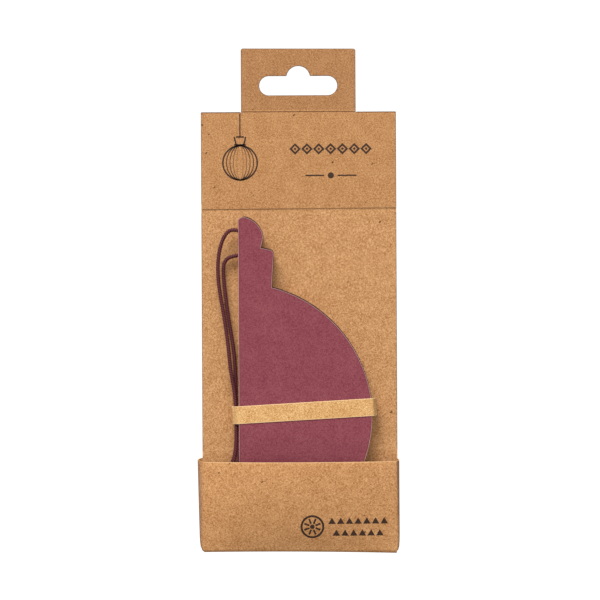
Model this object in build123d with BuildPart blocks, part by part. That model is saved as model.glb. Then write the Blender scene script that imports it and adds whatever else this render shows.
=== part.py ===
"""A flat-folded paper bauble in its card hang pack, in millimetres.

One die-cut kraft card blank makes the pack. Its header folds forward over the shoulders, its hang tab
stands up out of the back panel, and its pocket folds up from the bottom and wraps round behind. The
folded bauble is a half silhouette: a block of leaves between two covers. A closed paper band holds it
shut, and a cord loop leaves its spine and drops into the pocket.

Frame: +X to the right seen from the front, +Z up, and the front faces -Y. The origin is where a peg
bears, at the top of the hang slot, on the back face of the hang tab.
"""
import math
import os

from build123d import *

os.makedirs("parts", exist_ok=True)

# ---- card blank -------------------------------------------------------------------------------
CARD = 0.45  # thickness of the kraft card
GLUE = 0.10  # glue line between two glued layers
PANEL_HALF = 40.0  # half the width of the back panel and the header
SHOULDER_Z = -18.7  # the fold over the shoulders
HEADER_LOW_Z = -58.5  # the cut lower edge of the header flap
BOTTOM_Z = -199.1  # the lowest line of the pocket
BACK_FRONT_Y = GLUE  # front face of the back panel
BACK_REAR_Y = BACK_FRONT_Y + CARD  # rear face of the back panel

# ---- hang tab and its slot --------------------------------------------------------------------
TAB_HALF = 23.5
TAB_TOP_Z = 7.3
TAB_CORNER = 1.2
TAB_CUT = 0.15  # width of the die's cut round the tab
SLOT_HALF = 16.0  # half of the slot's 32 mm width
SLOT_TOP_Z = -4.1  # straight upper edge of the slot's arms
SLOT_LOW_Z = -12.0
SLOT_NOTCH_R = 4.85  # the round notch in the middle, where a peg sits

# ---- pocket: pairs of values are at the bottom fold and at the lip ----------------------------
FOLD_R = 1.7  # outer radius of the soft fold along the bottom
POCKET_H = 37.3  # height of the pocket's front
SWELL_POWER = 2.3  # how soon the front bulges above the bottom fold
CREASE_DEPTH = (2 * FOLD_R, 6.6)  # of the front creases, from the back panel's rear face
MIDDLE_DEPTH = (2 * FOLD_R + 0.1, 10.6)  # of the middle of the front
CREASE_LEFT_X = (-PANEL_HALF, -38.9)
CREASE_RIGHT_X = (PANEL_HALF, 39.5)
WALL_LEFT_X = (-40.8, -41.9)  # how far out the left side wall bows
WALL_RIGHT_X = (40.8, 40.8)
WALL_BOW = 0.45  # where the walls bow out most, as a share of their depth
FLAP_END_X = 27.0  # free ends of the glue flaps behind the back panel
FLAP_SLANT = 6.0  # height that the flaps lose towards their free ends
SECTION_LEVELS = (0.0, 0.16, 0.36, 0.60, 0.82, 1.0)  # shares of the pocket's height

# ---- folded bauble ----------------------------------------------------------------------------
SPINE_X = -24.7
SPINE_TOP_Z = -63.2
COLLAR_LOW_Z = -90.9  # where the collar's side meets the ball
BALL_CENTRE_Z = -143.3
BALL_R = 54.1
BOARD = 0.5  # thickness of each cover
LEAVES = 6.4  # thickness of the leaf block
PINCHED = 1.0  # its thickness at the very bottom, where the pocket pinches it
PINCH_Z = -155.0  # the front cover leans back below this height
PINCH_R = 60.0  # radius of its gentle bend there

# ---- band -------------------------------------------------------------------------------------
BAND_T = 0.30
BAND_W = 7.2
BAND_Z = -141.3
BAND_TILT = 3.2  # degrees, rising to the right
BAND_LEFT = -27.3  # inside of its left end, round the spine and the cord
BAND_RIGHT = 31.3  # inside of its right end, which stands off the round edge
BAND_BEND_R = 0.9

# ---- cord -------------------------------------------------------------------------------------
CORD_D = 1.5
CORD_ROUTE = [
    (-24.0, -5.0, -67.8),
    (-27.3, -5.0, -66.7),
    (-30.5, -5.0, -69.5),
    (-32.5, -5.0, -75.2),
    (-33.3, -5.0, -82.8),
    (-32.9, -5.0, -92.0),
    (-31.2, -5.0, -102.5),
    (-29.5, -5.0, -114.0),
    (-28.5, -5.0, -125.0),
    (-26.3, -5.0, -134.5),
    (-25.9, -5.0, -146.0),
    (-26.5, -5.0, -156.0),
    (-28.0, -5.0, -164.0),
    (-28.2, -4.7, -171.8),
    (-27.7, -4.1, -178.6),
    (-27.6, -3.5, -184.4),
    (-30.1, -3.0, -187.9),
    (-34.2, -2.6, -188.3),
    (-37.5, -2.4, -185.8),
    (-38.0, -2.4, -181.6),
    (-36.6, -2.4, -175.6),
    (-32.7, -2.5, -169.2),
    (-28.4, -2.7, -162.6),
    (-26.6, -2.8, -153.5),
    (-26.0, -2.9, -141.5),
    (-26.1, -2.9, -129.0),
    (-26.9, -2.9, -117.0),
    (-28.9, -2.9, -106.5),
    (-30.2, -2.9, -96.5),
    (-30.9, -2.9, -87.0),
    (-31.0, -2.9, -81.0),
    (-28.6, -3.0, -77.9),
    (-24.0, -3.0, -77.6),
]
BEND_SHARE = 0.45  # share of the shorter run beside a corner that its bend takes up

COVER_BACK_Y = BACK_FRONT_Y - BAND_T  # rear face of the back cover
LEAVES_BACK_Y = COVER_BACK_Y - BOARD
LEAVES_FRONT_Y = LEAVES_BACK_Y - LEAVES
COVER_FRONT_Y = LEAVES_FRONT_Y - BOARD
BALL_LOW_Z = BALL_CENTRE_Z - BALL_R
LIP_Z = BOTTOM_Z + POCKET_H
PAST = 1.0  # how far a cutting shape runs past what it cuts


def between(ends, share):
    """The value this share of the way from the bottom fold to the lip."""
    return ends[0] + (ends[1] - ends[0]) * share


def swell(level):
    """Share of the full bulge at this share of the pocket's height."""
    return 1 - (1 - level) ** SWELL_POWER


# ---- hang card: one folded sheet --------------------------------------------------------------
with BuildPart() as hang_card:
    # Side view of the folded strip: up the back panel, over the shoulder fold, down the header flap.
    fold_y = (BACK_REAR_Y - CARD) / 2
    fold_z = SHOULDER_Z - (BACK_REAR_Y + CARD) / 2
    base_z = BOTTOM_Z + FOLD_R
    with BuildSketch(Plane.YZ):
        with BuildLine():
            Line((BACK_FRONT_Y, fold_z), (BACK_FRONT_Y, base_z))
            Line((BACK_FRONT_Y, base_z), (BACK_REAR_Y, base_z))
            Line((BACK_REAR_Y, base_z), (BACK_REAR_Y, fold_z))
            ThreePointArc((BACK_REAR_Y, fold_z), (fold_y, SHOULDER_Z), (-CARD, fold_z))
            Polyline((-CARD, fold_z), (-CARD, HEADER_LOW_Z), (0, HEADER_LOW_Z), (0, fold_z))
            ThreePointArc((0, fold_z), (fold_y, fold_z + GLUE / 2), (BACK_FRONT_Y, fold_z))
        make_face()
    extrude(amount=PANEL_HALF, both=True)

    # The die cuts the tab out of the back panel just below the fold, and leaves its hole there.
    hole_low_z = 2 * SHOULDER_Z - TAB_TOP_Z
    with BuildSketch(Plane.XZ.offset(-BACK_REAR_Y - PAST)):
        with Locations((0, (SHOULDER_Z + PAST + hole_low_z) / 2)):
            Rectangle(2 * (TAB_HALF + TAB_CUT), SHOULDER_Z + PAST - hole_low_z)
    extrude(amount=BACK_REAR_Y + PAST, mode=Mode.SUBTRACT)

    # The tab stands up in the plane of the header flap.
    with BuildSketch(Plane.XZ):
        with Locations((0, (fold_z + TAB_TOP_Z) / 2)):
            Rectangle(2 * TAB_HALF, TAB_TOP_Z - fold_z)
        top_corners = [v for v in vertices() if v.Y > SLOT_TOP_Z]
        fillet(top_corners, TAB_CORNER)
    extrude(amount=CARD)

    # Hang slot: a bar with round ends and a round notch for the peg in its upper edge.
    with BuildSketch(Plane.XZ.offset(-PAST)):
        with Locations((0, (SLOT_TOP_Z + SLOT_LOW_Z) / 2)):
            SlotOverall(2 * SLOT_HALF, SLOT_TOP_Z - SLOT_LOW_Z)
        with Locations((0, -SLOT_NOTCH_R)):
            Circle(SLOT_NOTCH_R)
    extrude(amount=CARD + 2 * PAST, mode=Mode.SUBTRACT)

    # The soft fold along the bottom.
    with BuildSketch(Plane.YZ):
        with Locations((BACK_REAR_Y - FOLD_R, base_z)):
            Circle(FOLD_R)
            Circle(FOLD_R - CARD, mode=Mode.SUBTRACT)
        with Locations((BACK_REAR_Y - FOLD_R, base_z + FOLD_R / 2)):
            Rectangle(2 * FOLD_R, FOLD_R, mode=Mode.SUBTRACT)
    extrude(amount=PANEL_HALF, both=True)

    # Pocket front, side walls and glue flaps: one bent sheet, bulged by what it holds.
    for level in SECTION_LEVELS:
        share = swell(level)
        crease, middle = between(CREASE_DEPTH, share), between(MIDDLE_DEPTH, share)
        left, right = between(CREASE_LEFT_X, level), between(CREASE_RIGHT_X, level)
        wall_left, wall_right = between(WALL_LEFT_X, level), between(WALL_RIGHT_X, level)
        edge_in, flap_in = PANEL_HALF + GLUE, GLUE
        edge_out, flap_out = edge_in + CARD, flap_in + CARD
        bow, centre = -crease * WALL_BOW, (left + right) / 2
        # On this plane x runs to the right and y runs to the back from the back panel's rear face.
        with BuildSketch(Plane((0, BACK_REAR_Y, base_z + (LIP_Z - base_z) * level))):
            with BuildLine():
                Line((-FLAP_END_X, flap_out), (-edge_out, flap_out))
                ThreePointArc((-edge_out, flap_out), (wall_left, bow), (left, -crease))
                ThreePointArc((left, -crease), (centre, -middle), (right, -crease))
                ThreePointArc((right, -crease), (wall_right, bow), (edge_out, flap_out))
                Line((edge_out, flap_out), (FLAP_END_X, flap_out))
                Line((FLAP_END_X, flap_out), (FLAP_END_X, flap_in))
                Line((FLAP_END_X, flap_in), (edge_in, flap_in))
                inner_right, inner_left = (right - CARD, CARD - crease), (left + CARD, CARD - crease)
                ThreePointArc((edge_in, flap_in), (wall_right - CARD, bow), inner_right)
                ThreePointArc(inner_right, (centre, CARD - middle), inner_left)
                ThreePointArc(inner_left, (wall_left + CARD, bow), (-edge_in, flap_in))
                Line((-edge_in, flap_in), (-FLAP_END_X, flap_in))
                Line((-FLAP_END_X, flap_in), (-FLAP_END_X, flap_out))
            make_face()
    loft()

    # The glue flaps narrow towards their free ends.
    for side in (-1, 1):
        for end_z, inward in ((base_z, 1), (LIP_Z, -1)):
            with BuildSketch(Plane.XZ.offset(-BACK_REAR_Y - GLUE / 2)):
                with BuildLine():
                    Polyline(
                        (side * (FLAP_END_X - PAST), end_z - inward * PAST),
                        (side * (FLAP_END_X - PAST), end_z + inward * FLAP_SLANT),
                        (side * PANEL_HALF, end_z),
                        (side * PANEL_HALF, end_z - inward * PAST),
                        close=True,
                    )
                make_face()
            extrude(amount=-2 * CARD, mode=Mode.SUBTRACT)


# ---- folded bauble: two covers and the leaves between them ------------------------------------
with BuildSketch() as bauble_outline:  # the half silhouette of knob, collar and ball
    ball_start = (SPINE_X + math.sqrt(BALL_R**2 - (COLLAR_LOW_Z - BALL_CENTRE_Z) ** 2), COLLAR_LOW_Z)
    with BuildLine():
        ThreePointArc((SPINE_X, SPINE_TOP_Z), (-23.0, -62.3), (-20.7, -62.7))
        ThreePointArc((-20.7, -62.7), (-16.5, -65.8), (-14.7, -70.1))
        ThreePointArc((-14.7, -70.1), (-15.0, -72.2), (-15.7, -74.8))
        Line((-15.7, -74.8), (-12.2, -75.5))
        ThreePointArc((-12.2, -75.5), (-10.9, -76.1), (-10.4, -77.5))
        Line((-10.4, -77.5), ball_start)
        ThreePointArc(ball_start, (SPINE_X + BALL_R, BALL_CENTRE_Z), (SPINE_X, BALL_LOW_Z))
        Line((SPINE_X, BALL_LOW_Z), (SPINE_X, SPINE_TOP_Z))
    make_face()


def upright(y):
    """A layer's face that stays upright from top to bottom, in side view."""
    return Line((y, 0), (y, BALL_LOW_Z - PAST))


def leaning(top_y, low_y):
    """A layer's face that leans back where the pocket pinches the bauble, in side view."""
    return FilletPolyline((top_y, 0), (top_y, PINCH_Z), (low_y, BALL_LOW_Z - PAST), radius=PINCH_R)


def close_ends(rear, front):
    """Joins the upper ends and the lower ends of a layer's two faces."""
    Line(rear @ 0, front @ 0)
    Line(rear @ 1, front @ 1)


leaves_low_y = LEAVES_BACK_Y - PINCHED
with BuildPart() as back_cover:
    with BuildSketch(Plane.XZ.offset(-COVER_BACK_Y)):
        add(bauble_outline.sketch)
    extrude(amount=BOARD)

with BuildPart() as leaf_block:
    with BuildSketch(Plane.YZ):
        with BuildLine():
            close_ends(upright(LEAVES_BACK_Y), leaning(LEAVES_FRONT_Y, leaves_low_y))
        make_face()
    extrude(amount=2 * BALL_R, both=True)
    with BuildSketch(Plane.XZ):
        add(bauble_outline.sketch)
    extrude(amount=-COVER_FRONT_Y, mode=Mode.INTERSECT)

with BuildPart() as front_cover:
    with BuildSketch(Plane.YZ):
        with BuildLine():
            close_ends(
                leaning(LEAVES_FRONT_Y, leaves_low_y), leaning(COVER_FRONT_Y, leaves_low_y - BOARD)
            )
        make_face()
    extrude(amount=2 * BALL_R, both=True)
    with BuildSketch(Plane.XZ):
        add(bauble_outline.sketch)
    extrude(amount=PAST - COVER_FRONT_Y, mode=Mode.INTERSECT)


# ---- band: a closed loop round the bauble and the cord ----------------------------------------
tilt = math.radians(BAND_TILT)
band_along, band_across = (math.cos(tilt), 0, math.sin(tilt)), (-math.sin(tilt), 0, math.cos(tilt))
bend_run = BAND_BEND_R * math.tan(math.radians(22.5)) + 0.05  # the band bends clear of the covers' edges
spine_edge = SPINE_X - math.tan(tilt) * BAND_W / 2 - bend_run
round_edge = SPINE_X + BALL_R + 0.3 + bend_run
with BuildLine() as band_inside:
    FilletPolyline(
        (spine_edge, COVER_FRONT_Y),
        (BAND_LEFT, COVER_FRONT_Y + 2.2),
        (BAND_LEFT, COVER_BACK_Y - 2.4),
        (spine_edge, COVER_BACK_Y),
        (round_edge, COVER_BACK_Y),
        (BAND_RIGHT, COVER_BACK_Y - 2.6),
        (BAND_RIGHT, COVER_FRONT_Y + 2.6),
        (round_edge, COVER_FRONT_Y),
        radius=BAND_BEND_R,
        close=True,
    )

with BuildPart() as band:
    with BuildSketch(Plane((0, 0, BAND_Z), x_dir=band_along, z_dir=band_across)):
        make_face(band_inside.edges())
        offset(amount=BAND_T)
        make_face(band_inside.edges(), mode=Mode.SUBTRACT)
    extrude(amount=BAND_W / 2, both=True)


# ---- hanging cord: one loop, both ends between the leaves at the spine ------------------------
route = [Vector(*point) for point in CORD_ROUTE]
runs = [after - before for before, after in zip(route, route[1:])]
turns = [before.get_angle(after) for before, after in zip(runs, runs[1:])]
bend_radii = [
    BEND_SHARE * min(before.length, after.length) / math.tan(math.radians(turn / 2))
    for before, after, turn in zip(runs, runs[1:], turns)
]
with BuildPart() as hanging_cord:
    with BuildLine() as cord_line:
        FilletPolyline(*route, radius=bend_radii)
    with BuildSketch(Plane(cord_line.wires()[0] @ 0, z_dir=cord_line.wires()[0] % 0)):
        Circle(CORD_D / 2)
    sweep()
    cord_volume = hanging_cord.part.volume
    split(bisect_by=Plane.YZ.offset(SPINE_X), keep=Keep.BOTTOM)

cord_length = cord_line.wires()[0].length
cord_section = math.pi * CORD_D**2 / 4
print("cord length", round(cord_length, 1), "mm")
print("cord bend radii", [round(radius, 1) for radius in bend_radii])
print("least cord bend radius, in diameters", round(min(bend_radii) / CORD_D, 2))
print("cord turns", [round(turn) for turn in turns])
print("cord volume over section times length", round(cord_volume / (cord_section * cord_length), 4))

for name, piece in (
    ("hang_card", hang_card),
    ("front_cover", front_cover),
    ("leaf_block", leaf_block),
    ("back_cover", back_cover),
    ("band", band),
    ("hanging_cord", hanging_cord),
):
    piece.part.label = name
    export_step(piece.part, f"parts/{name}.step")
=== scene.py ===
"""Builds the looks of a flat-folded paper bauble in its card hang pack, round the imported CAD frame.

Lengths are in metres and angles in degrees unless a name says otherwise. The pack hangs: +Z is up, +X is
to the right seen from the front, and the front faces -Y. The card is laid out flat as a grid and folded,
the bauble's silhouette is drawn once by extruding and spinning and then copied for each layer, and the
cord is a twist of three strands along its own curve.
"""
import logging
import math
import random
from collections.abc import Callable, Iterator, Sequence
from contextlib import contextmanager
from dataclasses import dataclass, field
from enum import Enum, IntEnum

import bpy
import numpy as np
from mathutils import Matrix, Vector


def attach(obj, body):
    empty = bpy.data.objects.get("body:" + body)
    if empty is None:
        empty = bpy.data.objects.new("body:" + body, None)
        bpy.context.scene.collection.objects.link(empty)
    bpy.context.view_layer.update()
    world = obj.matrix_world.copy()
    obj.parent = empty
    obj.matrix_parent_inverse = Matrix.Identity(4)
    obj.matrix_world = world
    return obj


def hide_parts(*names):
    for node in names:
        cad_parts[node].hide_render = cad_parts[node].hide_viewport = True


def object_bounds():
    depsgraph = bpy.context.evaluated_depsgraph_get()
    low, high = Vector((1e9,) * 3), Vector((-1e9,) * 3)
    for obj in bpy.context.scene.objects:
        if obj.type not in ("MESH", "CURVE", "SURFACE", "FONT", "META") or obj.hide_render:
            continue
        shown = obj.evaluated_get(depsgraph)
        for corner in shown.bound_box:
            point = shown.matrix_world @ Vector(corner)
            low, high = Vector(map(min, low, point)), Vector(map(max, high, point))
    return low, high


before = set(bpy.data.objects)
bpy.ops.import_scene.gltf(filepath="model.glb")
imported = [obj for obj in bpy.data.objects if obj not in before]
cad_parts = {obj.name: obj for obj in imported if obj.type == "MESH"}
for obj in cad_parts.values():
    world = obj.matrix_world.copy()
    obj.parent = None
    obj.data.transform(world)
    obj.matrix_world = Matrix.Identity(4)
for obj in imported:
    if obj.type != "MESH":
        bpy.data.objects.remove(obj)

CAD_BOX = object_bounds()
MM = 0.001
HAIR = 0.01 * MM  # how exactly a corner is found by its place
SEED = 11
log = logging.getLogger("bauble_pack")

Point = tuple[float, float, float]
Colour = tuple[float, float, float, float]
Piece = bpy.types.Object
Socket = bpy.types.NodeSocket


# Hand tools
class Part(Enum):
    """What a selection takes: corners, edges or faces."""

    CORNER = "VERT"
    EDGE = "EDGE"
    FACE = "FACE"


class Bench:
    """Everyday modelling moves, each a thin layer over one or two operators."""

    @staticmethod
    def pick(*pieces: Piece) -> None:
        """Selects only these pieces and makes the first one active."""
        bpy.ops.object.select_all(action="DESELECT")
        for piece in pieces:
            piece.select_set(True)
        bpy.context.view_layer.objects.active = pieces[0]

    @staticmethod
    @contextmanager
    def editing(piece: Piece, part: Part = Part.CORNER) -> Iterator[None]:
        """Opens a piece in edit mode with the given kind of selection, and closes it again.

        Args:
            piece: The piece to edit.
            part: The kind of element that stays selected.
        """
        Bench.pick(piece)
        bpy.ops.object.mode_set(mode="EDIT")
        bpy.ops.mesh.select_mode(type=part.value)
        yield
        bpy.ops.object.mode_set(mode="OBJECT")

    @staticmethod
    def clear(mesh: bpy.types.Mesh) -> None:
        """Deselects every corner, edge and face of a mesh."""
        for group in (mesh.vertices, mesh.edges, mesh.polygons):
            group.foreach_set("select", [False] * len(group))

    @staticmethod
    def choose(piece: Piece, part: Part, test: Callable[[Vector], bool]) -> None:
        """Selects the elements whose middle passes a test, and nothing else.

        Args:
            piece: A mesh piece in object mode.
            part: Whether corners or faces are tested.
            test: Says of a point whether the element there is wanted.
        """
        corners = part is Part.CORNER
        Bench.clear(piece.data)
        for element in piece.data.vertices if corners else piece.data.polygons:
            if test(element.co if corners else element.center):
                element.select = True

    @staticmethod
    def dressed(piece: Piece, *finishes: "PaperFinish") -> None:
        """Gives a piece these finishes, in the order of its material slots."""
        for finish in finishes:
            piece.data.materials.append(finish.material())

    @staticmethod
    def finish_with(piece: Piece, kind: str, **settings: object) -> None:
        """Adds one modifier with these settings and applies it."""
        Bench.pick(piece)
        modifier = piece.modifiers.new(kind.title(), kind)
        for name, value in settings.items():
            setattr(modifier, name, value)
        bpy.ops.object.modifier_apply(modifier=modifier.name)

    @staticmethod
    def named(name: str) -> Piece:
        """Names the active piece and puts its place into its mesh."""
        piece = bpy.context.active_object
        Bench.pick(piece)
        bpy.ops.object.transform_apply(location=True, rotation=True, scale=True)
        piece.name = piece.data.name = name
        return piece

    @staticmethod
    def copied(piece: Piece, name: str) -> Piece:
        """A copy of a piece, with a mesh of its own."""
        Bench.pick(piece)
        bpy.ops.object.duplicate()
        twin = bpy.context.active_object
        twin.name = twin.data.name = name
        return twin

    @staticmethod
    def joined(name: str, pieces: Sequence[Piece], merge: float = 0.0) -> Piece:
        """Joins pieces into the first one.

        Args:
            name: The joined piece's name.
            pieces: The pieces to join.
            merge: Corners nearer than this become one; nothing is merged at 0.

        Returns:
            The joined piece.
        """
        Bench.pick(*pieces)
        if len(pieces) > 1:
            bpy.ops.object.join()
        whole = bpy.context.active_object
        whole.name = whole.data.name = name
        if merge:
            with Bench.editing(whole):
                bpy.ops.mesh.select_all(action="SELECT")
                bpy.ops.mesh.remove_doubles(threshold=merge)
        return whole

    @staticmethod
    def faced_outwards(piece: Piece) -> None:
        """Turns every face of a closed shape outwards."""
        with Bench.editing(piece, Part.FACE):
            bpy.ops.mesh.select_all(action="SELECT")
            bpy.ops.mesh.normals_make_consistent(inside=False)

    @staticmethod
    def smoothed(piece: Piece, angle: float) -> None:
        """Shades a piece smooth across edges that turn less than an angle."""
        Bench.pick(piece)
        bpy.ops.object.shade_smooth_by_angle(angle=math.radians(angle))

    @staticmethod
    def grid(name: str, columns: Sequence[float], rows: Sequence[object],
             place: Callable[[float, object], Point]) -> Piece:
        """Lays a grid so that each crossing stands where a column and a row say.

        Args:
            name: The piece's name.
            columns: One value for each column.
            rows: One value of any kind for each row.
            place: Gives the point for a column's value and a row's value.

        Returns:
            The open sheet.
        """
        bpy.ops.mesh.primitive_grid_add(x_subdivisions=len(columns) - 1, y_subdivisions=len(rows) - 1,
                                        size=1)
        piece = Bench.named(name)
        for index, corner in enumerate(piece.data.vertices):
            row, column = divmod(index, len(columns))
            corner.co = place(columns[column], rows[row])
        return piece


def mix_between(start: float, end: float, share: float) -> float:
    """The value this share of the way from start to end."""
    return start + (end - start) * share


def arc_through(first: Vector, middle: Vector, last: Vector) -> tuple[Vector, float]:
    """The circle arc through three points in a plane.

    Args:
        first: Where the arc starts.
        middle: A point that it passes.
        last: Where it ends.

    Returns:
        Its centre, and the angle that it turns in radians, positive anticlockwise.
    """
    a, b = middle - first, last - first
    twice_area = 2 * (a.x * b.y - a.y * b.x)
    offset = Vector((b.y * a.length_squared - a.y * b.length_squared,
                     a.x * b.length_squared - b.x * a.length_squared)) / twice_area
    centre = first + offset
    start, end = first - centre, last - centre
    turn = math.atan2(start.x * end.y - start.y * end.x, start.dot(end))
    if turn * twice_area < 0:
        turn += math.copysign(2 * math.pi, twice_area)
    return centre, turn


# Finishes
class Recipe:
    """Adds nodes to one node tree and wires them."""

    def __init__(self, tree: bpy.types.NodeTree) -> None:
        """Starts on a node tree."""
        self.tree = tree

    def node(self, kind: str, inputs: dict | None = None, **settings: object) -> bpy.types.Node:
        """Adds a node.

        Args:
            kind: The node's type name.
            inputs: For each input's name or number, a plain value or the socket that feeds it.
            settings: The node's own properties.

        Returns:
            The new node.
        """
        made = self.tree.nodes.new(kind)
        for name, value in settings.items():
            setattr(made, name, value)
        for name, value in (inputs or {}).items():
            if isinstance(value, Socket):
                self.tree.links.new(value, made.inputs[name])
            else:
                made.inputs[name].default_value = value
        return made

    def sum(self, operation: str, *values: object, clamp: bool = False) -> Socket:
        """The output of one Math node that works on these values."""
        made = self.node("ShaderNodeMath", dict(enumerate(values)), operation=operation, use_clamp=clamp)
        return made.outputs[0]

    def blend(self, share: object, low: object, high: object) -> Socket:
        """The colour this share of the way from low to high."""
        made = self.node("ShaderNodeMix", {0: share, 6: low, 7: high}, data_type="RGBA")
        return made.outputs[2]

    def noise(self, where: Socket, scale: float, detail: float = 2.0,
              rough: float = 0.5) -> Socket:
        """The height of a noise pattern at a place, with this many lumps to the metre."""
        made = self.node("ShaderNodeTexNoise",
                         {"Vector": where, "Scale": scale, "Detail": detail, "Roughness": rough})
        return made.outputs["Fac"]

    def stretched(self, where: Socket, turn: float, along: float) -> Socket:
        """A place on the front, turned about Y by some degrees and stretched to a share of its length."""
        turned = self.node("ShaderNodeMapping", {"Vector": where, "Rotation": (0, math.radians(turn), 0)})
        made = self.node("ShaderNodeMapping", {"Vector": turned.outputs[0], "Scale": (along, 1, 1)})
        return made.outputs[0]


class PaperGrain:
    """The shader group that every paper and card here shares: fibres, clouds and specks."""

    NAME = "PaperGrain"
    FIBRE_TURNS = (38.0, -52.0)
    FLECK_CELLS = 260.0
    CLOUDS = 170.0
    CLOUD_SHARE = 0.12
    STROKE_STRETCH = 0.4
    FLECK_STRETCH = 0.6
    FLECK_SHARPNESS = 40.0

    @classmethod
    def group(cls) -> bpy.types.NodeTree:
        """The group, built the first time that it is asked for."""
        ready = bpy.data.node_groups.get(cls.NAME)
        return ready or cls._build()

    @classmethod
    def _build(cls) -> bpy.types.NodeTree:
        """Builds the group.

        Returns:
            A node tree with fibre and contrast inputs, and shade, fleck and height outputs.
        """
        tree = bpy.data.node_groups.new(cls.NAME, "ShaderNodeTree")
        for name in ("Fibres per Metre", "Contrast", "Fleck Size"):
            tree.interface.new_socket(name=name, in_out="INPUT", socket_type="NodeSocketFloat")
        for name in ("Shade", "Fleck", "Height"):
            tree.interface.new_socket(name=name, in_out="OUTPUT", socket_type="NodeSocketFloat")
        make = Recipe(tree)
        given = make.node("NodeGroupInput").outputs
        where = make.node("ShaderNodeTexCoord").outputs["Object"]
        grain = make.noise(where, 1.0, detail=2.0, rough=0.6)
        tree.links.new(given["Fibres per Metre"], grain.node.inputs["Scale"])
        strokes = []
        for turn in cls.FIBRE_TURNS:
            stroke = make.noise(make.stretched(where, turn, cls.STROKE_STRETCH), 1.0, detail=1.0)
            tree.links.new(given["Fibres per Metre"], stroke.node.inputs["Scale"])
            strokes.append(stroke)
        cloud = make.noise(where, cls.CLOUDS, detail=3.0, rough=0.6)
        fibres = make.sum("MULTIPLY", make.sum("ADD", *strokes), 0.5)
        fine = make.sum("MULTIPLY_ADD", grain, 0.5, make.sum("MULTIPLY", fibres, 0.5))
        clear = make.sum("MULTIPLY", fine, 1 - cls.CLOUD_SHARE)
        mottle = make.sum("MULTIPLY_ADD", cloud, cls.CLOUD_SHARE, clear)
        swing = make.sum("MULTIPLY", make.sum("SUBTRACT", mottle, 0.5), given["Contrast"])
        shade = make.sum("ADD", swing, 0.5, clamp=True)
        drawn_out = make.stretched(where, cls.FIBRE_TURNS[0], cls.FLECK_STRETCH)
        cells = make.node("ShaderNodeTexVoronoi", {"Vector": drawn_out, "Scale": cls.FLECK_CELLS})
        pick = make.node("ShaderNodeSeparateColor", {0: cells.outputs["Color"]}).outputs[0]
        size = make.sum("MULTIPLY", given["Fleck Size"], pick)
        inside = make.sum("SUBTRACT", size, cells.outputs["Distance"])
        fleck = make.sum("MULTIPLY", inside, cls.FLECK_SHARPNESS, clamp=True)
        out = make.node("NodeGroupOutput", {"Shade": shade, "Fleck": fleck, "Height": fine})
        out.is_active_output = True
        return tree


@dataclass(frozen=True)
class PaperFinish:
    """An uncoated paper or card: two tints that its fibres mix, and specks.

    Attributes:
        name: The material's name.
        dark: The tint between the fibres.
        light: The tint of the fibres.
        fleck: The tint of the specks.
        fibres: Fibres to the metre.
        contrast: How far the mottle swings.
        fleck_size: Share of a speck cell that a speck fills, 0 for none.
        roughness: Of the surface.
        bump: Strength of the fibre relief.
        relief: Its height.
        gloss: How much the surface mirrors.
    """

    name: str
    dark: Colour
    light: Colour
    fleck: Colour
    fibres: float = 2300.0
    contrast: float = 2.2
    fleck_size: float = 0.0
    roughness: float = 0.86
    bump: float = 0.25
    relief: float = 0.08 * MM
    gloss: float = 0.25

    def material(self) -> bpy.types.Material:
        """The finish as a material."""
        made = bpy.data.materials.get(self.name)
        if made:
            return made
        made = bpy.data.materials.new(self.name)
        made.use_nodes = True
        make = Recipe(made.node_tree)
        shader = made.node_tree.nodes["Principled BSDF"]
        shader.inputs["Roughness"].default_value = self.roughness
        shader.inputs["Specular IOR Level"].default_value = self.gloss
        grain = make.node("ShaderNodeGroup", node_tree=PaperGrain.group())
        grain.inputs["Fibres per Metre"].default_value = self.fibres
        grain.inputs["Contrast"].default_value = self.contrast
        grain.inputs["Fleck Size"].default_value = self.fleck_size
        tint = make.blend(grain.outputs["Shade"], self.dark, self.light)
        tint = make.blend(grain.outputs["Fleck"], tint, self.fleck)
        relief = make.node("ShaderNodeBump", {"Height": grain.outputs["Height"], "Strength": self.bump,
                                              "Distance": self.relief})
        made.node_tree.links.new(tint, shader.inputs["Base Color"])
        made.node_tree.links.new(relief.outputs[0], shader.inputs["Normal"])
        return made


def tinted(red: float, green: float, blue: float) -> Colour:
    """A linear colour with no see-through."""
    return (red, green, blue, 1.0)


def shaded(colour: Colour, share: float) -> Colour:
    """A colour made darker or lighter by a factor."""
    return tinted(*(min(1.0, part * share) for part in colour[:3]))


def swung(colour: Colour, swing: tuple[float, float, float]) -> Colour:
    """A colour with each channel raised by its own share."""
    return tinted(*(min(1.0, part * (1 + share)) for part, share in zip(colour, swing)))


def fibres_of(colour: Colour, swing: tuple[float, float, float]) -> tuple[Colour, Colour]:
    """The dark and the light tint of a paper whose fibres vary about a colour."""
    return swung(colour, tuple(-share for share in swing)), swung(colour, swing)


KRAFT_TINT = tinted(0.560, 0.285, 0.118)
POCKET_TINT = tinted(0.592, 0.291, 0.116)
# Painted shade: the header and, darker still, the tab are dimmer copies of the kraft, standing in for the
# light falling off towards the top.
HEADER_SHADE_TINT = tinted(0.505, 0.246, 0.0975)
TAB_SHADE_TINT = tinted(0.427, 0.205, 0.0825)
# Painted shade and painted reflection: the pocket's side walls are a darker, bluer copy of the kraft,
# standing in for their shade and the pale room that they mirror.
WALL_SHADE_TINT = tinted(0.470, 0.240, 0.125)
# Painted shade: the tint of the dark lines along cut edges, the score line and the shoulders' folds.
EDGE_SHADE_TINT = tinted(0.160, 0.068, 0.028)
BURGUNDY_TINT = tinted(0.260, 0.058, 0.077)
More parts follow.
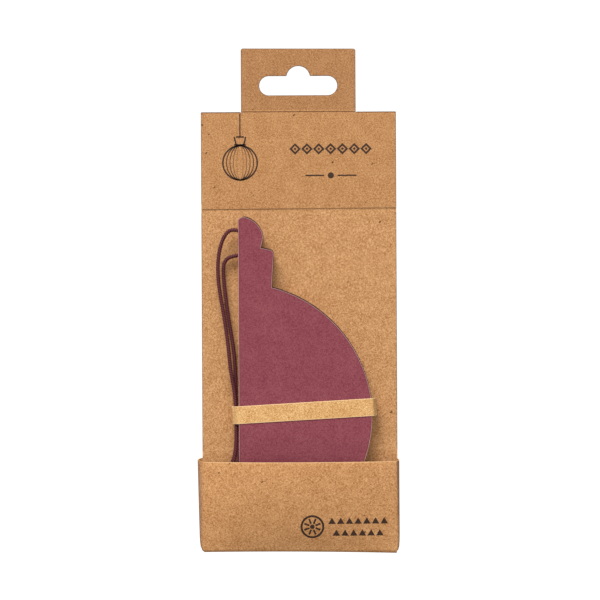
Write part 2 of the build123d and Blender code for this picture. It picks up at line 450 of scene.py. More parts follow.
# Painted shade: near black for the front leaves that peek out past the cover, standing in for the shade
# there.
SHADE_LEAF_TINT = tinted(0.050, 0.016, 0.016)
BAND_TINT = tinted(0.713, 0.403, 0.160)
KRAFT_SWING = (0.36, 0.50, 0.68)
BURGUNDY_SWING = (0.22, 0.46, 0.33)
BAND_SWING = (0.34, 0.55, 0.80)


def kraft_face(name: str, tint: Colour, fleck: float = 0.22) -> PaperFinish:
    """The mottled and specked kraft of one region, its specks as dark as a share of the kraft tint."""
    return PaperFinish(name, *fibres_of(tint, KRAFT_SWING), shaded(KRAFT_TINT, fleck), contrast=4.2,
                       fleck_size=0.11)


KRAFT = kraft_face("kraft_outer_face", POCKET_TINT)
KRAFT_INSIDE = kraft_face("kraft_inner_face", KRAFT_TINT)
KRAFT_HEADER_SHADE = kraft_face("kraft_header_painted_shade", HEADER_SHADE_TINT, 0.20)
KRAFT_TAB_SHADE = kraft_face("kraft_tab_painted_shade", TAB_SHADE_TINT, 0.20)
KRAFT_WALL_SHADE = kraft_face("kraft_wall_painted_shade", WALL_SHADE_TINT, 0.20)
# Painted shade: dark kraft for the edge bevels, the score line and the folds.
KRAFT_EDGE_SHADE = PaperFinish("kraft_painted_edge_shade", *fibres_of(EDGE_SHADE_TINT, KRAFT_SWING),
                         shaded(KRAFT_TINT, 0.22), contrast=3.0)
KRAFT_EDGE = PaperFinish("kraft_cut_edge", tinted(0.56, 0.31, 0.14), tinted(0.83, 0.52, 0.26),
                         KRAFT_TINT, fibres=2600.0, bump=0.5)
BURGUNDY = PaperFinish("burgundy_cover_paper", *fibres_of(BURGUNDY_TINT, BURGUNDY_SWING), BURGUNDY_TINT,
                       fibres=3000.0, contrast=5.6, roughness=0.78, bump=0.12)
BURGUNDY_EDGE = PaperFinish("burgundy_cut_edge", tinted(0.40, 0.20, 0.19), tinted(0.66, 0.42, 0.38),
                            BURGUNDY_TINT, fibres=2600.0, bump=0.4)
LEAF = PaperFinish("burgundy_leaf", shaded(BURGUNDY_TINT, 0.55), shaded(BURGUNDY_TINT, 0.95),
                   BURGUNDY_TINT, fibres=2600.0, contrast=1.6, bump=0.15)
# Painted shade: near-black leaf paper.
SHADE_LEAF = PaperFinish("burgundy_painted_shade_leaf", shaded(SHADE_LEAF_TINT, 0.7), shaded(SHADE_LEAF_TINT, 1.3), SHADE_LEAF_TINT)
LEAF_EDGE = PaperFinish("burgundy_leaf_edge", tinted(0.16, 0.042, 0.050), tinted(0.34, 0.115, 0.125),
                        BURGUNDY_TINT, fibres=3200.0, bump=0.2)
BAND_PAPER = PaperFinish("band_paper", *fibres_of(BAND_TINT, BAND_SWING), BAND_TINT, contrast=4.0)
# Painted shade: the pressed rim is a darker copy of the burgundy, standing in for the shade in its shallow
# dip.
PRESSED_RIM_SHADE = PaperFinish("burgundy_pressed_rim_painted_shade", shaded(BURGUNDY_TINT, 0.66), shaded(BURGUNDY_TINT, 1.0),
                  BURGUNDY_TINT, contrast=1.6, roughness=0.75, bump=0.1)
# Pale cut edge of the band, also used as a painted highlight along the two long edges of its faces.
BAND_EDGE_AND_HIGHLIGHT = PaperFinish("band_cut_edge_and_painted_highlight", tinted(0.80, 0.50, 0.24), tinted(0.93, 0.66, 0.36), BAND_TINT,
                        fibres=2600.0, bump=0.3)
INK = PaperFinish("brown_ink", tinted(0.022, 0.010, 0.006), tinted(0.085, 0.042, 0.025),
                  tinted(0.2, 0.11, 0.06), contrast=2.5, roughness=0.7)


@dataclass(frozen=True)
class CordFinish:
    """Waxed twisted cotton whose strands catch a soft light, with painted shade deep between them.

    Attributes:
        name: The material's name.
        groove_shade: Painted shade, the near-black tint deep between two strands.
        crown: The tint along a strand's outside.
        roughness: Of the waxed fibres.
        gloss: How much they mirror.
        fluff: Loose fibres to the metre.
        fluff_relief: How far these stand up.
        fluff_tint: Factor and offset that turn their height into a share of the crown tint.
    """

    name: str = "waxed_burgundy_cord"
    groove_shade: Colour = tinted(0.010, 0.0025, 0.003)
    crown: Colour = tinted(0.190, 0.036, 0.046)
    roughness: float = 0.5
    gloss: float = 0.25
    fluff: float = 4200.0
    fluff_relief: float = 0.1 * MM
    fluff_tint: tuple[float, float] = (2.2, -0.05)

    def material(self) -> bpy.types.Material:
        """The finish as a material, which reads the cord's own height attribute."""
        made = bpy.data.materials.new(self.name)
        made.use_nodes = True
        make = Recipe(made.node_tree)
        shader = made.node_tree.nodes["Principled BSDF"]
        shader.inputs["Roughness"].default_value = self.roughness
        shader.inputs["Specular IOR Level"].default_value = self.gloss
        height = make.node("ShaderNodeAttribute", attribute_name=TwistedCord.HEIGHT).outputs["Fac"]
        where = make.node("ShaderNodeTexCoord").outputs["Object"]
        fluff = make.noise(where, self.fluff, detail=3.0, rough=0.7)
        level = make.sum("MULTIPLY", height, make.sum("MULTIPLY_ADD", fluff, *self.fluff_tint), clamp=True)
        relief = make.node("ShaderNodeBump", {"Height": fluff, "Strength": 0.5,
                                              "Distance": self.fluff_relief})
        # Painted shade: near black deep in the grooves, the crown tint on the strands.
        tint = make.blend(level, self.groove_shade, self.crown)
        made.node_tree.links.new(tint, shader.inputs["Base Color"])
        made.node_tree.links.new(relief.outputs[0], shader.inputs["Normal"])
        return made


# Camera, light and floor
@dataclass
class Studio:
    """A camera square on to the front, soft light from above, and a pale floor well below.

    Attributes:
        distance: From the camera to the card.
        view_width: How wide a stretch of the pack's front fills the view.
        roll: Degrees by which the pack hangs out of true.
        drop: From the pack's lowest line to the floor.
    """

    distance: float = 0.8
    view_width: float = 246.20435 * MM
    sensor: float = 36.0
    aim_x: float = 0.31 * MM
    aim_z: float = -95.98 * MM
    roll: float = 0.28
    drop: float = 0.30
    floor_tint: Colour = (0.30, 0.30, 0.29, 1.0)
    floor_glow: float = 1.0
    room_light: float = 0.28
    room_look: float = 1.05
    floor_size: float = 12.0
    floor_roughness: float = 0.9
    lamps: tuple = (
        ("key_lamp", (-0.55, -1.45, 1.70), 1.3, 58.5),
        ("fill_lamp", (0.35, -1.60, 0.15), 1.2, 6.0),
        ("back_lamp", (0.3, 0.9, 0.5), 0.8, 6.0),
    )

    def camera(self) -> None:
        """Adds the camera."""
        bpy.ops.object.camera_add(location=(self.aim_x, -self.distance, self.aim_z),
                                  rotation=(math.pi / 2, math.radians(self.roll), 0))
        camera = bpy.context.active_object
        camera.name = "camera"
        camera.data.sensor_width = self.sensor
        camera.data.lens = self.sensor * self.distance / self.view_width
        bpy.context.scene.camera = camera

    def lamp(self, name: str, place: Point, size: float, power: float) -> None:
        """Adds a soft square lamp that shines towards the pack's middle.

        Args:
            name: The lamp's name.
            place: Where it stands.
            size: Length of its sides.
            power: In watts.
        """
        bpy.ops.object.light_add(type="AREA", location=place)
        lamp = bpy.context.active_object
        lamp.name = name
        lamp.data.size = size
        lamp.data.energy = power
        lamp.rotation_mode = "QUATERNION"
        lamp.rotation_quaternion = (Vector((0.0, 0.0, self.aim_z)) - Vector(place)).to_track_quat("-Z", "Y")

    def room(self) -> None:
        """Adds a white room, which looks brighter than the light that it gives."""
        world = bpy.data.worlds.new("soft_room")
        bpy.context.scene.world = world
        world.use_nodes = True
        make = Recipe(world.node_tree)
        seen = make.node("ShaderNodeLightPath").outputs["Is Camera Ray"]
        strength = make.node("ShaderNodeMix", {0: seen, 2: self.room_light, 3: self.room_look})
        world.node_tree.links.new(strength.outputs[0],
                                  world.node_tree.nodes["Background"].inputs["Strength"])
        world.node_tree.nodes["Background"].inputs["Color"].default_value = tinted(1.0, 1.0, 1.0)

    def build(self) -> None:
        """Builds the whole studio."""
        self.camera()
        for lamp in self.lamps:
            self.lamp(*lamp)
        bpy.ops.mesh.primitive_plane_add(size=self.floor_size, location=(0, 0, CAD_BOX[0][2] - self.drop))
        floor = Bench.named("pale_floor")
        paint = bpy.data.materials.new("pale_floor")
        paint.use_nodes = True
        shader = paint.node_tree.nodes["Principled BSDF"]
        for name, value in (("Base Color", self.floor_tint), ("Roughness", self.floor_roughness),
                            ("Emission Color", tinted(1.0, 1.0, 1.0))):
            shader.inputs[name].default_value = value
        make = Recipe(paint.node_tree)
        seen = make.node("ShaderNodeLightPath").outputs["Is Camera Ray"]
        paint.node_tree.links.new(make.sum("MULTIPLY", seen, self.floor_glow),
                                  shader.inputs["Emission Strength"])
        floor.data.materials.append(paint)
        self.room()
        bpy.context.scene.view_settings.view_transform = "Standard"


# Cord
@dataclass
class TwistedCord:
    """The hanging loop: three waxed strands twisted round a route that leaves and re-enters the spine.

    Attributes:
        diameter: Over the strands.
        pitch: Length in which the strands turn once.
        sides: Corners round one ring of the tube.
        step: Distance between two rings.
        depth: How deep the grooves between strands are, as a share of the radius.
        fullness: How far the strands' crowns stand out, as a share of the radius.
    """

    HEIGHT = "strand_height"
    ROUTE = [
        (-24.0, -5.0, -67.8), (-27.3, -5.0, -66.7), (-30.5, -5.0, -69.5), (-32.5, -5.0, -75.2),
        (-33.3, -5.0, -82.8), (-32.6, -5.0, -92.0), (-30.6, -5.0, -102.5), (-29.1, -5.0, -114.0),
        (-28.1, -5.0, -125.0), (-26.3, -5.0, -134.5), (-25.9, -5.0, -146.0), (-25.9, -5.0, -156.0),
        (-27.4, -5.0, -164.0), (-28.2, -4.7, -171.8), (-27.7, -4.1, -178.6), (-27.6, -3.5, -184.4),
        (-30.1, -3.0, -187.9), (-34.2, -2.6, -188.3), (-37.5, -2.4, -185.8), (-38.0, -2.4, -181.6),
        (-36.6, -2.4, -175.6), (-32.7, -2.5, -169.2), (-27.2, -2.7, -162.6), (-25.9, -2.8, -153.5),
        (-26.0, -2.9, -141.5), (-26.1, -2.9, -129.0), (-26.7, -2.9, -117.0), (-28.5, -2.9, -106.5),
        (-29.9, -2.9, -96.5), (-30.9, -2.9, -87.0), (-31.0, -2.9, -81.0), (-28.6, -3.0, -77.9),
        (-24.0, -3.0, -77.6),
    ]
    diameter: float = 1.5 * MM
    pitch: float = 3.0 * MM
    strands: int = 3
    sides: int = 18
    smoothness: int = 48
    step: float = 0.22 * MM
    depth: float = 0.30
    fullness: float = 1.10
    smooth_angle: float = 50.0

    def centreline(self) -> np.ndarray:
        """Points down the middle of the cord, read from its smooth curve.

        Returns:
            One row for each point.
        """
        curve = bpy.data.curves.new("cord_route", "CURVE")
        curve.dimensions = "3D"
        curve.resolution_u = self.smoothness
        spline = curve.splines.new("NURBS")
        spline.points.add(len(self.ROUTE) - 1)
        for point, place in zip(spline.points, self.ROUTE):
            point.co = (*(value * MM for value in place), 1.0)
        spline.order_u = 3
        spline.use_endpoint_u = True
        carrier = bpy.data.objects.new("cord_route", curve)
        mesh = bpy.data.meshes.new_from_object(carrier)
        line = np.array([corner.co for corner in mesh.vertices])
        bpy.data.meshes.remove(mesh)
        bpy.data.objects.remove(carrier)
        bpy.data.curves.remove(curve)
        return line

    def rings(self, line: np.ndarray) -> tuple[np.ndarray, np.ndarray]:
        """Evenly spaced points along a line, and the distance of each along it.

        Args:
            line: Points that may stand unevenly.

        Returns:
            The points, and their distances.
        """
        along = np.concatenate([[0.0], np.cumsum(np.linalg.norm(np.diff(line, axis=0), axis=1))])
        at = np.linspace(0.0, along[-1], round(along[-1] / self.step) + 1)
        return np.stack([np.interp(at, along, line[:, axis]) for axis in range(3)], axis=1), at

    def build(self) -> Piece:
        """Returns:
            The cord.
        """
        path, along = self.rings(self.centreline())
        ahead = np.gradient(path, axis=0)
        ahead /= np.linalg.norm(ahead, axis=1)[:, None]
        side = np.cross(ahead, (0.0, 1.0, 0.0))
        side /= np.linalg.norm(side, axis=1)[:, None]
        over = np.cross(side, ahead)
        angle = np.linspace(0, 2 * math.pi, self.sides, endpoint=False)[None, :]
        twist = angle - (2 * math.pi * along / self.pitch)[:, None]
        height = np.abs(np.cos(twist * self.strands / 2))
        radius = self.diameter / 2 * (self.fullness - self.depth + self.depth * height)
        spoke = np.cos(angle)[..., None] * side[:, None, :] + np.sin(angle)[..., None] * over[:, None, :]
        corners = path[:, None, :] + radius[..., None] * spoke
        count, around = len(path), self.sides
        faces = [
            (ring * around + k, ring * around + (k + 1) % around,
             (ring + 1) * around + (k + 1) % around, (ring + 1) * around + k)
            for ring in range(count - 1) for k in range(around)
        ]
        faces += [tuple(range(around))[::-1], tuple(range((count - 1) * around, count * around))]
        mesh = bpy.data.meshes.new("twisted_cord")
        mesh.from_pydata(corners.reshape(-1, 3).tolist(), [], faces)
        store = mesh.attributes.new(self.HEIGHT, "FLOAT", "POINT")
        store.data.foreach_set("value", (height ** 2).reshape(-1).astype(np.float32))
        cord = bpy.data.objects.new("twisted_cord", mesh)
        bpy.context.scene.collection.objects.link(cord)
        Bench.faced_outwards(cord)
        Bench.smoothed(cord, self.smooth_angle)
        mesh.materials.append(CordFinish().material())
        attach(cord, "root")
        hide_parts("hanging_cord")
        log.info("cord: %.1f mm long, %d rings", along[-1] / MM, count)
        return cord


# Hang card
@dataclass
class PocketShape:
    """The bulged pocket: its front arches between two creases, and its side walls bow outwards.

    Every pair of sizes is at the bottom fold and at the lip. Depths are from the back panel's rear face.
    """

    rear_y: float = 0.55 * MM
    base_z: float = -197.4 * MM
    lip_z: float = -161.8 * MM
    swell_power: float = 2.3
    crease_depth: tuple[float, float] = (3.4 * MM, 6.6 * MM)
    middle_depth: tuple[float, float] = (3.5 * MM, 10.6 * MM)
    crease_left: tuple[float, float] = (-40.0 * MM, -38.9 * MM)
    crease_right: tuple[float, float] = (40.0 * MM, 39.5 * MM)
    wall_left: tuple[float, float] = (-41.15 * MM, -41.9 * MM)
    wall_right: tuple[float, float] = (40.7 * MM, 40.6 * MM)
    wall_bow: float = 0.45
    half: float = 40.0 * MM
    opening_out: float = 0.04

    def swell(self, level: float) -> float:
        """Share of the full bulge at this share of the pocket's height."""
        return 1 - (1 - min(max(level, 0.0), 1.0)) ** self.swell_power

    def crease(self, level: float, left: bool) -> tuple[float, float]:
        """Where a front crease stands at a level: x, and y of its outer corner."""
        across = self.crease_left if left else self.crease_right
        return mix_between(*across, level), self.rear_y - mix_between(*self.crease_depth, self.swell(level))

    def front_y(self, x: float, level: float) -> float:
        """The front's outer surface at a level, arched between its creases."""
        (left, edge), (right, _) = self.crease(level, True), self.crease(level, False)
        middle = self.rear_y - mix_between(*self.middle_depth, self.swell(level))
        off_middle = (2 * x - left - right) / (right - left)
        return mix_between(middle, edge, off_middle ** 2)

    def wall_x(self, y: float, level: float, left: bool, corner_x: float) -> float:
        """A side wall's outer surface at a level, on the parabola through its crease, bow and back.

        Args:
            y: How far back.
            level: Share of the pocket's height.
            left: Which wall.
            corner_x: Where the wall ends at the back.

        Returns:
            The wall's x.
        """
        near_x, near_y = self.crease(level, left)
        bow_x = mix_between(*(self.wall_left if left else self.wall_right), level)
        start_x = math.copysign(self.half, bow_x)
        bow_x = mix_between(bow_x, start_x, math.exp(-level / self.opening_out))
        along, bow_at = (y - near_y) / (self.rear_y - near_y), 1 - self.wall_bow
        start, swing = near_x, corner_x - near_x
        bulge = (bow_x - start - swing * bow_at) / (bow_at * (1 - bow_at))
        return start + swing * along + bulge * along * (1 - along)


class CardFace(IntEnum):
    """The card's material slots."""

    OUTER = 0
    CUT = 1
    INNER = 2
    HEADER = 3
    TAB = 4
    WORN = 5
    WALL = 6


@dataclass
class HangCard:
    """The kraft pack, cut from one card: header, hang tab, back panel, pocket and glue flaps."""

    card: float = 0.45 * MM
    half: float = 40.0 * MM
    header_low: float = -58.5 * MM
    header_skew: float = 0.2 * MM
    fold_y: float = 0.05 * MM
    fold_z: float = -19.26 * MM
    fold_r: float = 0.275 * MM
    tab_half: float = 23.5 * MM
    tab_top: float = 7.3 * MM
    tab_corner: float = 0.9 * MM
    tab_skew: float = 0.13 * MM
    hole_half: float = 23.65 * MM
    hole_low: float = -44.7 * MM
    score_z: float = -18.72 * MM
    score_depth: float = 0.10 * MM
    score_half: float = 0.18 * MM
    score_rise: float = 0.80 * MM
    slot_half: float = 16.0 * MM
    slot_top: float = -4.1 * MM
    slot_low: float = -12.0 * MM
    notch_r: float = 4.85 * MM
    bottom_y: float = -1.15 * MM
    bottom_r: float = 1.475 * MM
    flap_y: float = 0.875 * MM
    flap_corner: float = 40.325 * MM
    flap_end: float = 27.0 * MM
    flap_slant: float = 6.0 * MM
    wall_rise: tuple[float, float] = (1.2 * MM, 0.5 * MM)
    bottom_skew: float = 0.35 * MM
    bottom_narrow: float = 0.012
    corner_close: float = 0.9
    flap_press: float = 0.09 * MM
    crease_bevel: float = 0.45 * MM
    lip_bevel: float = 0.30 * MM
    edge_shade_width: float = 0.20 * MM
    cut_angle: float = 65.0
    shade_above_lip: float = 4 * MM
    wall_start: float = 38.0 * MM
    front_facing: float = 0.8
    side_facing: float = 0.7
    shade_fold_gap: float = 0.05 * MM
    merge: float = 0.004 * MM
    smooth_angle: float = 35.0
    levels: int = 18
    wall_steps: int = 14
    flap_steps: int = 4
    shoulder_steps: int = 8
    bottom_steps: int = 12
    cutter_sides: int = 64
    spacing: float = 2.2 * MM
    pocket: PocketShape = field(default_factory=PocketShape)

    def spread(self, start: float, end: float) -> list[float]:
        """Values from start to end, both included, about one spacing apart."""
        steps = max(1, round(abs(end - start) / self.spacing))
        return [mix_between(start, end, step / steps) for step in range(steps + 1)]

    def columns(self) -> list[float]:
        """The columns of the folded strip, with one on each side of the die's cuts."""
        tab = self.spread(-self.tab_half, self.tab_half)
        left = self.spread(-self.half, -self.hole_half)
        return left + tab + [-x for x in reversed(left)]

    def strip_rows(self) -> list[Callable[[float], Point]]:
        """The rows of the folded strip, from the header's lower edge round to the pocket's lip.

        Returns:
            For each row, a function from a column to its point.
        """
        half_card, pocket = self.card / 2, self.pocket

        def header(z: float) -> Callable[[float], Point]:
            low = (self.fold_z - z) / (self.fold_z - self.header_low)
            return lambda x: (x, self.flap_press * low ** 2 - half_card,
                              z + low * self.header_skew * x / self.half)

        def shoulder(angle: float) -> Callable[[float], Point]:
            return lambda x: (x, self.fold_y - self.fold_r * math.cos(angle),
                              self.fold_z + self.fold_r * math.sin(angle))

        def panel(z: float) -> Callable[[float], Point]:
            return lambda x: (x, self.fold_y + self.fold_r, z)

        def bottom(angle: float) -> Callable[[float], Point]:
            keep = 1 - half_card / self.half * angle / math.pi - self.bottom_narrow * math.sin(angle)

            def place(x: float) -> Point:
                across = x / self.half
                sag = self.bottom_skew * across * (1 + across) * math.sin(angle)
                return (x * keep, self.bottom_y + self.bottom_r * math.cos(angle),
                        pocket.base_z - self.bottom_r * math.sin(angle) - sag)
            return place

        def front(level: float) -> Callable[[float], Point]:
            (left, _), (right, _) = pocket.crease(level, True), pocket.crease(level, False)
            z = mix_between(pocket.base_z, pocket.lip_z, level)

            def place(x: float) -> Point:
                share = (x + self.half) / (2 * self.half)
                across = mix_between(left + half_card, right - half_card, share)
                return (across, pocket.front_y(mix_between(left, right, share), level) + half_card, z)
            return place

        rows = [header(z) for z in self.spread(self.header_low, self.fold_z)]
        rows += [shoulder(math.pi * step / self.shoulder_steps) for step in range(1, self.shoulder_steps)]
        rows += [panel(z) for z in self.spread(self.fold_z, self.hole_low)]
        rows += [panel(z) for z in self.spread(self.hole_low, pocket.base_z)[1:]]
        rows += [bottom(math.pi * step / self.bottom_steps) for step in range(1, self.bottom_steps)]
        rows += [front(level / self.levels) for level in range(self.levels + 1)]
        return rows

    def strip(self) -> Piece:
        """The folded strip, with the tab's hole cut out of it."""
        strip = Bench.grid("hang_card", self.columns(), self.strip_rows(), lambda x, row: row(x))
        edge = (self.hole_half + self.tab_half) / 2 + HAIR
        Bench.choose(strip, Part.FACE, lambda at: abs(at.x) < edge and at.z > self.hole_low
                     and (at.y > 0 or at.z > self.fold_z))
        with Bench.editing(strip, Part.FACE):
            bpy.ops.mesh.delete(type="FACE")
        return strip

    def tab(self) -> Piece:
        """The flat hang tab above the shoulders, with rounded upper corners."""
        rows = [self.fold_z, self.score_z - self.score_half, self.score_z, self.score_z + self.score_half]
        rows += self.spread(self.score_z + self.score_rise, self.tab_top)

        def place(x: float, z: float) -> Point:
            up = max(0.0, (z - self.slot_top) / (self.tab_top - self.slot_top))
            return (x, -self.card / 2, z - up * self.tab_skew * (1 + x / self.tab_half))

        tab = Bench.grid("hang_tab", self.spread(-self.tab_half, self.tab_half), rows, place)
        inside = self.tab_half - 0.1 * MM
        Bench.choose(tab, Part.CORNER, lambda at: abs(at.x) > inside and at.z > self.tab_top - MM)
        with Bench.editing(tab):
            bpy.ops.mesh.bevel(offset=self.tab_corner, segments=6, affect="VERTICES")
        return tab

    def side(self, left: bool) -> Piece:
        """A side wall with its glue flap, bent round behind the back panel.

        Args:
            left: Which side.

        Returns:
            The open sheet.
        """
        pocket, half_card, sign = self.pocket, self.card / 2, -1 if left else 1
        rise = self.wall_rise[0 if left else 1]
        reach = self.flap_corner - self.flap_end
        columns = [("wall", step / self.wall_steps) for step in range(self.wall_steps + 1)]
        columns += [("flap", step / self.flap_steps) for step in range(1, self.flap_steps + 1)]

        def place(column: tuple[str, float], level: float) -> Point:
            kind, share = column
            low, high = pocket.base_z, pocket.lip_z
            if kind == "flap":
                slant = self.flap_slant * share
                high += rise
                return (sign * (self.flap_corner - reach * share), self.flap_y,
                        mix_between(low + slant, high - slant, level))
            near = pocket.crease(level, left)[1] + half_card
            y = mix_between(near, self.flap_y, share)
            outer = pocket.wall_x(y - half_card * (1 - share), level, left,
                                  sign * (self.flap_corner + half_card))
            high += share * rise
            off_fold = min(1.0, abs(y - self.bottom_y) / self.bottom_r)
            low -= self.corner_close * self.bottom_r * math.sqrt(1 - off_fold ** 2)
            return (outer - sign * half_card, y, mix_between(low, high, level))
        return Bench.grid("side_wall", columns, [level / self.levels for level in range(self.levels + 1)],
                          place)

    def soften_creases(self, sheet: Piece) -> None:
        """Rounds the two front creases of the pocket, and presses the score line below the tab."""
        pocket, half_card = self.pocket, self.card / 2

        def on_crease(at: Vector) -> bool:
            level = (at.z - pocket.base_z) / (pocket.lip_z - pocket.base_z)
            if level < -0.001:
                return False
            x, y = pocket.crease(level, at.x < 0)
            return abs(at.y - y - half_card) < HAIR and abs(abs(at.x - x) - half_card) < HAIR

        Bench.choose(sheet, Part.CORNER, on_crease)
        with Bench.editing(sheet):
            bpy.ops.mesh.bevel(offset=self.crease_bevel, segments=3, affect="EDGES")
        Bench.choose(sheet, Part.CORNER, lambda at: abs(at.x) < self.tab_half + HAIR
                     and abs(at.z - self.score_z) < HAIR)
        with Bench.editing(sheet):
            bpy.ops.transform.translate(value=(0, self.score_depth, 0))

    def cutter(self, place: Point, radius: float, stretch: float) -> Piece:
        """A round bar across the tab, pulled apart sideways to the slot's length.

        Args:
            place: Its middle.
            radius: Of its round ends.
            stretch: How far each half moves out.

        Returns:
            The cutting shape.
        """
        sides, through = self.cutter_sides, 6 * MM
        bpy.ops.object.select_all(action="DESELECT")
        bpy.ops.mesh.primitive_cylinder_add(vertices=sides, radius=radius, depth=through, location=place,
                                            rotation=(math.pi / 2, math.pi / sides, 0))
        bar = Bench.named("slot_cutter")
        for sign in (-1, 1):
            Bench.choose(bar, Part.CORNER, lambda at: sign * (at.x - place[0]) > 0)
            with Bench.editing(bar):
                bpy.ops.transform.translate(value=(sign * stretch, 0, 0))
        Bench.dressed(bar, KRAFT, KRAFT_EDGE)
        bar.data.polygons.foreach_set("material_index", [int(CardFace.CUT)] * len(bar.data.polygons))
        return bar

    def cut_slot(self, sheet: Piece) -> None:
        """Cuts the hang slot and its peg notch through the tab."""
        arm_r = (self.slot_top - self.slot_low) / 2
        bars = (self.cutter((0, 0, self.slot_low + arm_r), arm_r, self.slot_half - arm_r),
                self.cutter((0, 0, -self.notch_r), self.notch_r, 0))
        for bar in bars:
            Bench.finish_with(sheet, "BOOLEAN", operation="DIFFERENCE", solver="EXACT", object=bar)
            bpy.data.objects.remove(bar)

    def round_lip(self, sheet: Piece) -> None:
        """Rounds the outer edge of the pocket's lip, where the cut shows its pale core."""
        lip, front = self.pocket.lip_z - HAIR, self.bottom_y - self.bottom_r
        Bench.choose(sheet, Part.CORNER, lambda at: at.z > lip and at.z < lip + MM and at.y < front
                     and at.y < self.lip_front(at.x))
        with Bench.editing(sheet):
            bpy.ops.mesh.bevel(offset=self.lip_bevel, segments=2, affect="EDGES", material=CardFace.CUT)

    def lip_front(self, x: float) -> float:
        """The middle of the card's thickness along the lip."""
        return self.pocket.front_y(x, 1.0) + self.card / 2

    def shade_edges(self, card: Piece) -> None:
        """Paints shade on the cut edges above the pocket, as a narrow dark bevel."""
        with Bench.editing(card, Part.EDGE):
            bpy.ops.mesh.select_all(action="DESELECT")
            bpy.ops.mesh.edges_select_sharp(sharpness=math.radians(self.cut_angle))
        mesh, lowest = card.data, self.pocket.lip_z + self.shade_above_lip
        cuts = [edge for edge in mesh.edges
                if edge.select and min(mesh.vertices[end].co.z for end in edge.vertices) > lowest]
        Bench.clear(mesh)
        for edge in cuts:
            edge.select = True
            for end in edge.vertices:
                mesh.vertices[end].select = True
        with Bench.editing(card, Part.EDGE):
            bpy.ops.mesh.bevel(offset=self.edge_shade_width, segments=1, affect="EDGES", clamp_overlap=False,
                               material=CardFace.WORN)

    def dress(self, card: Piece) -> None:
        """Gives the header, tab, score line, shoulder folds and pocket walls their own finishes, all painted
        shade.
        """
        tab_from = self.score_z + self.score_rise
        for polygon in card.data.polygons:
            at, faces = polygon.center, polygon.normal
            if polygon.material_index == CardFace.WORN and abs(at.z - self.header_low) < MM:
                polygon.material_index = CardFace.CUT
            elif polygon.material_index != CardFace.OUTER:
                continue
            # The shoulders' folds take the dark kraft as painted shade.
            elif abs(at.x) > self.tab_half and 0 < at.z - self.fold_z - self.shade_fold_gap < MM:
                polygon.material_index = CardFace.WORN
            elif faces.y < -self.front_facing and at.z > self.header_low - MM and at.y < -0.2 * MM:
                # The score line is painted dark as shade in its crease.
                scored = abs(at.z - self.score_z) < self.score_half and abs(at.x) < self.tab_half
                # Header and tab take their kraft darkened as painted shade.
                plain = CardFace.TAB if at.z > tab_from else CardFace.HEADER
                polygon.material_index = CardFace.WORN if scored else plain
            # Walls seen edge-on take the darker, bluer kraft as painted shade and painted reflection.
            elif abs(at.x) > self.wall_start and abs(faces.x) > self.side_facing and at.y < -MM:
                polygon.material_index = CardFace.WALL

    def build(self) -> Piece:
        """Builds the card.

        Returns:
            The folded card as one closed sheet.
        """
        sheets = [self.strip(), self.tab(), self.side(True), self.side(False)]
        card = Bench.joined("kraft_hang_card", sheets, merge=self.merge)
        Bench.faced_outwards(card)
        self.soften_creases(card)
        Bench.dressed(card, KRAFT, KRAFT_EDGE, KRAFT_INSIDE, KRAFT_HEADER_SHADE, KRAFT_TAB_SHADE, KRAFT_EDGE_SHADE, KRAFT_WALL_SHADE)
        Bench.finish_with(card, "SOLIDIFY", thickness=self.card, offset=0.0, use_quality_normals=True,
                          material_offset_rim=CardFace.CUT, material_offset=CardFace.INNER)
        self.cut_slot(card)
        self.round_lip(card)
        self.shade_edges(card)
        self.dress(card)
        Bench.smoothed(card, self.smooth_angle)
        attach(card, "root")
        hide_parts("hang_card")
        return card


